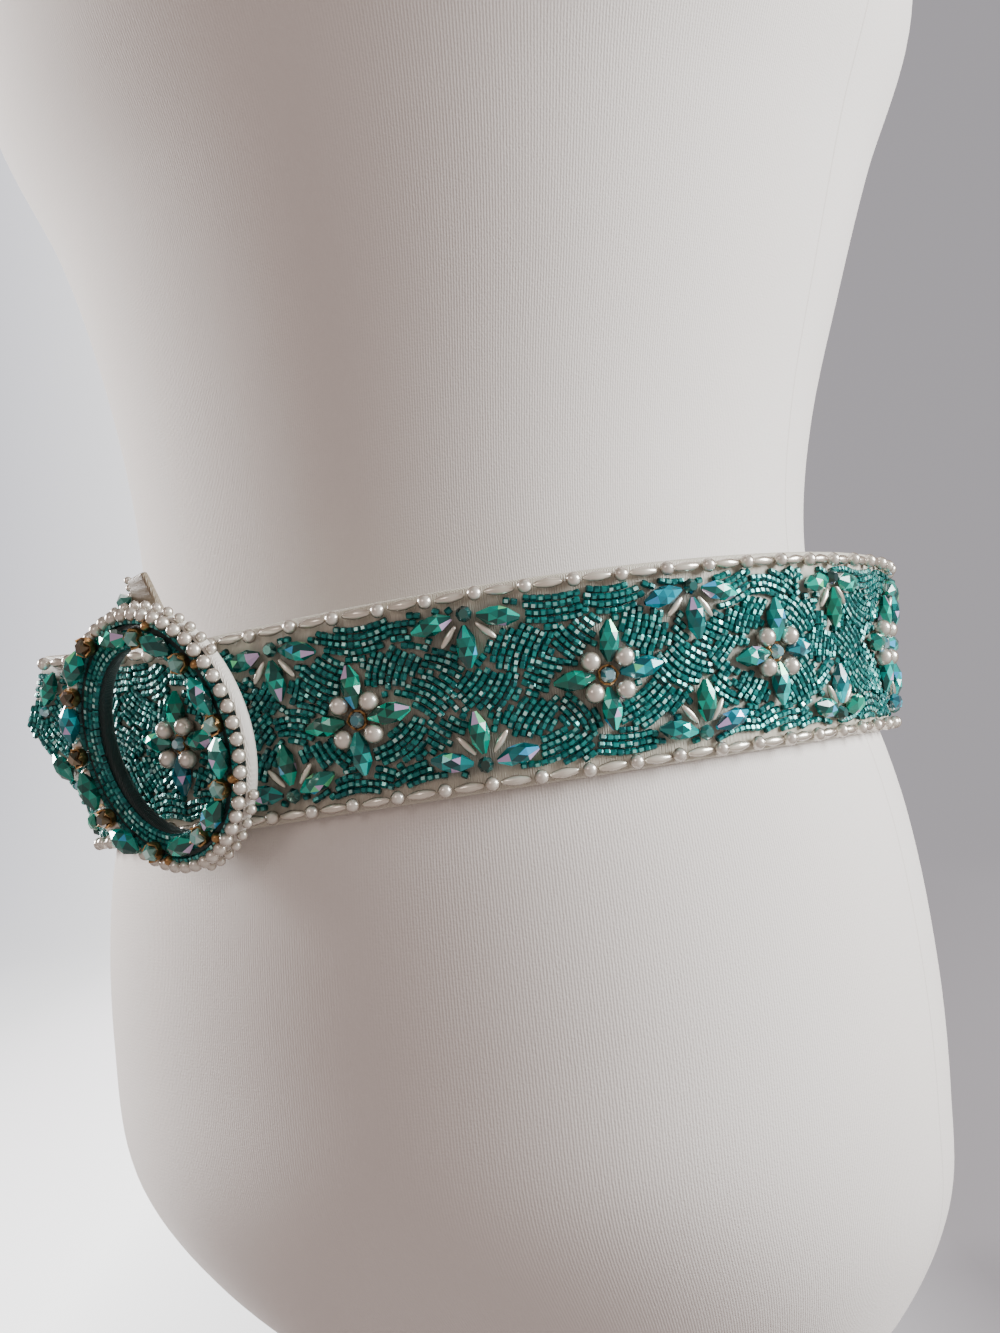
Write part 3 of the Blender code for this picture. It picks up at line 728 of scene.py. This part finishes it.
lastFlower = beadEnd - 0.0137
for k, along in enumerate(repeatPlaces(flowers["places"], flowers["pitch"], lastFlower)):
    addFlower(along, flowers["low"][k] if k < 5 else wobble(0.0010))
for along in repeatPlaces(halves["places"], flowers["pitch"], lastFlower):
    addHalfFlower(along, 1)
    addHalfFlower(along + 0.0014, -1)
for along, up, turn in ((-0.0580, 0.0160, radians(57)), (-0.0563, -0.0066, radians(-44))):  # on the point
    navettePlaces.append(bandPlace(along, up, band["wall"] + 0.0023, turn, (0.97, 0.95, 0.95)))
    footprints.append((along, up, 0.0056, 0.0029, turn))
for along, up in ((-0.0627, 0.0095), (-0.0508, -0.0120)):  # a small stone at the end of each
    iceStones.append(bandPlace(along, up, band["wall"] + 0.0014, wobble(0.4), (0.82, 0.82, 0.82)))
    footprints.append((along, up, 0.0019, 0.0019, 0.0))
print("flowers ready", len(navettePlaces), "cut beads")

strands = dict(pitch=0.00184, step=0.00174, patchLength=0.0160, reach=0.0130, clear=0.00035, apart=0.00136,
               edge=0.0208, rows=(0.0180, 0.0090, 0.0000, -0.0092, -0.0182),
               turns=((6, -8, 10, -4), (-38, 64, -30, 58), (44, -26, 82, -42), (-40, 50, -56, 38), (-6, 8, -4, 10)))


def layStrands():
    patches = []
    first = tail["point"][0] - 0.004
    columns = int((beadEnd - first) / strands["patchLength"]) + 1
    for column in range(columns):
        for row, level in enumerate(strands["rows"]):
            along = first + (column + 0.5 * (row % 2)) * strands["patchLength"] + wobble(0.0022)
            turn = radians(strands["turns"][row][(column + row) % 4] + wobble(9))
            bend = dice.uniform(28, 62) * (1 if dice.random() > 0.5 else -1)
            patches.append((along, level + wobble(0.0012), turn, bend))
    middles = np.array([patch[:2] for patch in patches])
    candidates = []
    for number, (along, level, turn, curve) in enumerate(patches):
        lines = int(strands["reach"] / strands["pitch"])
        for line in range(-lines, lines + 1):
            start = -strands["reach"] + dice.uniform(0, strands["step"])
            for k in range(int(2 * strands["reach"] / strands["step"])):
                x = start + k * strands["step"]
                y = line * strands["pitch"] + curve * x * x / 2
                candidates.append((along + x * cos(turn) - y * sin(turn), level + x * sin(turn) + y * cos(turn),
                                   turn + curve * x, number))
    found = np.array(candidates)
    keep = np.ones(len(found), bool)
    for begin in range(0, len(found), 4000):
        part = found[begin:begin + 4000]
        gaps = ((part[:, None, :2] - middles[None]) * (0.85, 1.25)) ** 2
        keep[begin:begin + 4000] &= gaps.sum(2).argmin(1) == part[:, 3]
    for x, y, halfLong, halfWide, turn in footprints:
        dx, dy = found[:, 0] - x, found[:, 1] - y
        longWay = (dx * cos(turn) + dy * sin(turn)) / (halfLong + strands["clear"] * 0.8)
        sideWay = (dy * cos(turn) - dx * sin(turn)) / (halfWide + strands["clear"] * 0.8)
        keep &= longWay**2 + sideWay**2 > 1.0
    keep &= (abs(found[:, 1]) < strands["edge"]) & (found[:, 0] < beadEnd - 0.001)
    keep &= found[:, 0] > tail["point"][0] + 0.001
    placed, cells = [], {}
    for x, y, turn, number in found[keep]:
        low, high = bandLimits(x)
        if x < tail["bottomShoulder"] and not low + 0.0016 < y < high - 0.0016:
            continue
        cell = (int(x // 0.002), int(y // 0.002))
        near = [other for i in (-1, 0, 1) for j in (-1, 0, 1)
                for other in cells.get((cell[0] + i, cell[1] + j), ())]
        if any((x - a) ** 2 + (y - b) ** 2 < strands["apart"] ** 2 for a, b in near):
            continue
        cells.setdefault(cell, []).append((x, y))
        placed.append((x, y, turn))
    return placed


seedSpots = layStrands()
seedPlaces = []
for x, y, turn in seedSpots:
    size = 1.0 + wobble(0.05)
    seedPlaces.append((x, bandPlace(x, y, band["wall"] + 0.00072 + abs(wobble(0.00012)), turn + wobble(0.07),
                                    (size, size, size)) @ Matrix.Rotation(wobble(0.5), 4, "X")))
for label, begin, end in (("Front", -1.0, 0.20), ("Left", 0.20, 0.48), ("Back", 0.48, 1.0)):
    here = [place for x, place in seedPlaces if begin <= x < end]
    piece = layCopies("seedBeads" + label, seedMould, here, paintedGlintAndShade)
    finishPiece(piece, seedGlass, "teal_beads")
    print("seed beads", label, len(here))

edging = dict(line=0.0234, topStart=-0.0613, bottomStart=-0.0381, pitch=0.0118, pearlAt=0.17, riceAt=0.67)


def makeEdging(side, first, label, node):
    pearls, rices = [], []
    for k in range(int((beadEnd - first) / edging["pitch"])):
        for at, stack, radius in ((edging["pearlAt"], pearls, 0.0020), (edging["riceAt"], rices, 0.0015)):
            along = first + (k + at) * edging["pitch"] + wobble(0.0002)
            line = side * edging["line"] + wobble(0.00015)
            stack.append(bandPlace(along, line, band["wall"] + radius, wobble(0.05)))
    pearlPiece = finishPiece(layCopies(label + "Pearls", edgePearlMould, pearls), pearl, "pearls", node)
    ricePiece = finishPiece(layCopies(label + "LongPearls", riceMould, rices), ricePearl, "pearls")
    return [pearlPiece, ricePiece]


edgingPieces = makeEdging(1, edging["topStart"], "topEdge", "strap_edging_top")
edgingPieces += makeEdging(-1, edging["bottomStart"], "bottomEdge", "strap_edging_bottom")

strapCutBeads = finishPiece(layCopies("strapCutBeads", navetteMould, navettePlaces), cutGlass, "teal_beads")
strapPearls = finishPiece(layCopies("flowerPearls", flowerPearlMould, flowerPearls), pearl, "pearls")
strapRice = finishPiece(layCopies("flowerLongPearls", riceMould, ricePlaces), ricePearl, "pearls")
strapCups = finishPiece(layCopies("flowerCups", cupMould, cups), antiqueGold, "teal_beads")
strapIce = finishPiece(layCopies("flowerStones", stoneMould, iceStones), iceStone, "teal_beads")
strapDark = finishPiece(layCopies("halfFlowerStones", stoneMould, darkStones), darkStone, "teal_beads")
print("strap beadwork ready")


def ringPoint(angle, widthNow, heightNow, above):
    return ringMiddle + ringAcross * widthNow * cos(angle) + ringUp * heightNow * sin(angle) + ringOut * above


def makeRing():
    ring = dict(steps=96, dome=0.0014, soft=0.0011, dark=(0, 1, 2, 3, 4, 5, 10))  # the face and the window's wall, which take painted shade
    wall, soft = buckle["wall"], ring["soft"]
    section = ((0.0, soft), (0.0, wall - soft), (0.04, wall), (0.28, wall + ring["dome"] * 0.85),
               (0.50, wall + ring["dome"]), (0.72, wall + ring["dome"] * 0.7), (0.94, wall - 0.0003),
               (1.0, wall - soft), (1.0, soft), (0.94, 0.0), (0.06, 0.0))
    rings = []
    for k in range(ring["steps"]):
        angle = 2 * pi * k / ring["steps"]
        row = []
        for share, above in section:
            widthNow = buckle["windowWidth"] + (buckle["halfWidth"] - buckle["windowWidth"]) * share
            heightNow = buckle["windowHeight"] + (buckle["halfHeight"] - buckle["windowHeight"]) * share
            row.append(ringPoint(angle, widthNow, heightNow, above))
        rings.append(row)
    piece = loft("ringSatin", rings, closeRound=True)
    turnOutward(piece)
    paintedRingShade = [1.0 if k in ring["dark"] else 0.0 for _ in rings for k in range(len(section))]
    layer = piece.data.attributes.new("paintedRingShade", "FLOAT", "FACE")
    layer.data.foreach_set("value", paintedRingShade)
    return finishPiece(piece, ringCloth, "satin", "buckle_ring")


makeRing()

ringTrim = dict(longTurns=(62, 21, -12, -47, -85, -129, -161, 165, 135, 98), squareTurns=(80, 43, 5, -30, -67, -109),
                smokeTurns=(-145, -178, 152, 120), goldTurns=(72, 35, -22, -58, -100), line=0.80, leftOut=0.13,
                leftUp=0.0010, goldLine=0.90, rimPearls=50)
ringNavettes, ringSquares, ringSmoke, ringCups, ringGold, ringPearls, ringSeeds = [], [], [], [], [], [], []


def onRing(degrees, line=ringTrim["line"]):  # the stones on the wearer's right stand further out and higher
    angle = radians(degrees)
    left = smoothStep(-cos(angle) / 0.6)
    share = line + ringTrim["leftOut"] * left
    turn = atan2(buckle["halfHeight"] * cos(angle), -buckle["halfWidth"] * sin(angle))
    x, y = buckle["halfWidth"] * share * cos(angle), buckle["halfHeight"] * share * sin(angle)
    return x, y, turn, buckle["wall"] + ringTrim["leftUp"] * left


for degrees in ringTrim["longTurns"]:
    x, y, turn, seat = onRing(degrees)
    ringNavettes.append(ringPlace(x, y, seat + 0.0032, turn + wobble(0.12), (0.98, 1.04, 1.1))
                        @ Matrix.Rotation(wobble(0.5), 4, "X"))
for degrees in ringTrim["squareTurns"] + ringTrim["smokeTurns"]:
    x, y, turn, seat = onRing(degrees)
    ringCups.append(ringPlace(x, y, seat + 0.0010, turn, (1.05, 1.05, 1.2)))
    stack = ringSmoke if degrees in ringTrim["smokeTurns"] else ringSquares
    stack.append(ringPlace(x, y, seat + 0.0036, turn + pi / 4 + wobble(0.2), (0.95, 0.95, 1.0)))
for degrees in ringTrim["goldTurns"]:
    x, y, turn, seat = onRing(degrees, ringTrim["goldLine"])
    ringGold.append(ringPlace(x, y, seat + 0.0016, turn, (0.72, 0.72, 0.9)))
for k in range(ringTrim["rimPearls"]):
    angle = 2 * pi * (k + 0.5) / ringTrim["rimPearls"]
    x, y = (buckle["halfWidth"] - 0.0010) * cos(angle), (buckle["halfHeight"] - 0.0010) * sin(angle)
    ringPearls.append(ringPlace(x, y, buckle["wall"] + 0.0014 + wobble(0.0002), wobble(3)))
    if 0.45 < angle < 1.75 or 4.75 < angle < 5.75:  # a second row down the side wall
        x, y = (buckle["halfWidth"] + 0.0006) * cos(angle + 0.06), (buckle["halfHeight"] + 0.0006) * sin(angle + 0.06)
        ringPearls.append(ringPlace(x, y, buckle["wall"] - 0.0018, wobble(3), (0.76, 0.76, 0.76)))


def seedRow(grow, above, sway):  # seeds in an oval, this far out from the window's edge
    wide, high = buckle["windowWidth"] + grow, buckle["windowHeight"] + grow * 0.9
    count = int(pi * (wide + high) / 0.00172)
    for k in range(count):
        angle = 2 * pi * (k + wobble(sway)) / count
        turn = atan2(high * cos(angle), -wide * sin(angle))
        ringSeeds.append(ringPlace(wide * cos(angle), high * sin(angle), buckle["wall"] + above, turn + wobble(sway)))


for grow in (0.0010, 0.0027, 0.0046, 0.0078):  # between the stones
    seedRow(grow, 0.0012, 0.15)
crestPearls = [ringPlace(-0.0028, y, -0.0014, 0.0, (0.55, 0.55, 0.55)) for y in (0.0376, 0.0397, 0.0417)]
crestStones = [ringPlace(-0.0040, 0.0362, 0.0002, 0.4, (1.1, 1.1, 1.1))]  # sunk in the ring's outer wall

finishPiece(layCopies("ringCutBeads", navetteMould, ringNavettes), cutGlass, "teal_beads")
finishPiece(layCopies("ringSquareStones", squareMould, ringSquares + crestStones), mintStone, "teal_beads")
finishPiece(layCopies("ringSmokeStones", squareMould, ringSmoke), smokeStone, "teal_beads")
finishPiece(layCopies("ringCups", cupMould, ringCups), antiqueGold, "teal_beads")
finishPiece(layCopies("ringGoldBeads", edgePearlMould, ringGold), antiqueGold, "teal_beads")
finishPiece(layCopies("ringSeedBeads", seedMould, ringSeeds, paintedGlintAndShade), seedGlass, "teal_beads")
finishPiece(layCopies("ringPearls", edgePearlMould, ringPearls + crestPearls), pearl, "pearls", "buckle_edging")


def makeCrest():
    crest = dict(outline=((-0.0022, 0.0320), (0.0080, 0.0320), (0.0062, 0.0380), (0.0045, 0.0430), (-0.0022, 0.0418)),
                 wall=0.0022, near=-0.0025)
    deselectAll()
    shape = bmesh.new()
    ring = [shape.verts.new(ringMiddle + ringAcross * x + ringUp * y + ringOut * crest["near"])
            for x, y in crest["outline"]]
    face = shape.faces.new(ring)
    grown = bmesh.ops.extrude_face_region(shape, geom=[face], use_keep_orig=True)
    bmesh.ops.translate(shape, verts=[v for v in grown["geom"] if isinstance(v, bmesh.types.BMVert)],
                        vec=ringOut * crest["wall"])
    bmesh.ops.recalc_face_normals(shape, faces=shape.faces[:])
    mesh = bpy.data.meshes.new("crestSatin")
    shape.to_mesh(mesh)
    shape.free()
    piece = bpy.data.objects.new("crestSatin", mesh)
    bpy.context.scene.collection.objects.link(piece)
    bpy.context.view_layer.objects.active = piece
    piece.select_set(True)
    soft = piece.modifiers.new("soft", "BEVEL")
    soft.width, soft.segments, soft.limit_method = 0.0008, 3, "ANGLE"
    bpy.ops.object.modifier_apply(modifier="soft")
    piece.data.shade_smooth()
    piece.data.set_sharp_from_angle(angle=radians(50))
    return finishPiece(piece, paintedShadeSatin, "satin", "buckle_crest")


makeCrest()
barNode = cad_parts["buckle_bar"]
for slot in barNode.material_slots:
    slot.material = whiteSatin
print("buckle ready")

viewWay = Vector((-0.6300, 0.7746, 0.0556)).normalized()
viewUp = Vector((0.1172, 0.0240, 0.9928)).normalized()
viewRight = viewWay.cross(viewUp).normalized()
target = Vector((0.0, axisY, 0.26))


def stageFinish():
    f = Finish("stagePaint", Roughness=0.9, Base_Color=(0.08, 0.08, 0.08, 1.0))
    parts = f.node("SeparateXYZ")
    f.links.new(f.objectPlace(), parts.inputs[0])
    side = f.math("ADD", f.math("MULTIPLY", parts.outputs[0], 0.77), f.math("MULTIPLY", parts.outputs[1], 0.63))
    share = f.math("ADD", f.math("MULTIPLY", side, 0.5), 0.5)
    # painted light and shade on the glowing backdrop seen by the camera: brightest in a band left of the middle, darker
    # to the right
    paintedBackdropLight = f.ramp(share, ((0.07, (0.32, 0.32, 0.35)), (0.25, (0.55, 0.55, 0.56)), (0.34, (0.82, 0.80, 0.82)),
                           (0.40, (1.0, 1.0, 1.0)), (0.50, (0.35, 0.34, 0.35)), (0.575, (0.090, 0.080, 0.088)),
                           (0.75, (0.114, 0.108, 0.117)), (0.94, (0.114, 0.109, 0.118))))
    seen = f.node("LightPath").outputs["Is Camera Ray"]
    f.links.new(f.mix(seen, (0.66, 0.50, 0.46), paintedBackdropLight), f.shader.inputs["Emission Color"])  # it lights the beads warmly
    f.links.new(f.math("ADD", f.math("MULTIPLY", seen, 2.75), 0.45), f.shader.inputs["Emission Strength"])
    return f.material


def makeStage():
    stage = dict(radius=2.4, bend=0.7, height=1.95, steps=96)
    profile = [(0.02, 0.0), (0.6, 0.0), (stage["radius"] - stage["bend"], 0.0)]
    for k in range(1, 9):
        angle = pi / 2 * k / 8
        profile.append((stage["radius"] - stage["bend"] + stage["bend"] * sin(angle),
                        stage["bend"] * (1 - cos(angle))))
    profile.append((stage["radius"], stage["height"]))
    rings = [[Vector((r * cos(2 * pi * k / stage["steps"]), r * sin(2 * pi * k / stage["steps"]), z - 0.0005))
              for k in range(stage["steps"])] for r, z in profile]
    piece = loft("studioBowl", rings, capEnds=False)
    piece.data.flip_normals()
    piece.data.materials.append(stageFinish())


def addLight(name, place, size, power, color):
    data = bpy.data.lights.new(name, "AREA")
    data.shape, data.size, data.energy, data.color = "DISK", size, power, color
    lamp = bpy.data.objects.new(name, data)
    lamp.location = place
    lamp.rotation_euler = (target - place).to_track_quat("-Z", "Y").to_euler()
    bpy.context.scene.collection.objects.link(lamp)


makeStage()
addLight("windowLight", target + viewRight * 1.25 - viewWay * 0.30 + Vector((0, 0, 0.5)), 0.80, 46.0, (0.98, 1.0, 1.0))
addLight("rimLight", target - viewRight * 1.1 + viewWay * 0.50 + Vector((0, 0, 0.2)), 0.5, 34.0, (1.0, 0.98, 0.97))
addLight("fillLight", target - viewWay * 1.15 - viewRight * 0.65 + Vector((0, 0, 0.5)), 0.45, 2.0, (1.0, 0.86, 0.80))

world = bpy.data.worlds.new("studioAir")
world.use_nodes = True
world.node_tree.nodes["Background"].inputs[0].default_value = (0.95, 0.82, 0.78, 1.0)
world.node_tree.nodes["Background"].inputs[1].default_value = 0.30
bpy.context.scene.world = world

cameraData = bpy.data.cameras.new("photoCamera")
cameraData.lens = 42.67
cameraData.clip_start = 0.01
camera = bpy.data.objects.new("photoCamera", cameraData)
camera.matrix_world = (Matrix.Translation((0.3269, -0.4011, 0.2001))
                       @ Matrix((viewRight, viewUp, -viewWay)).transposed().to_4x4())
bpy.context.scene.collection.objects.link(camera)
bpy.context.scene.camera = camera

print("scene ready")
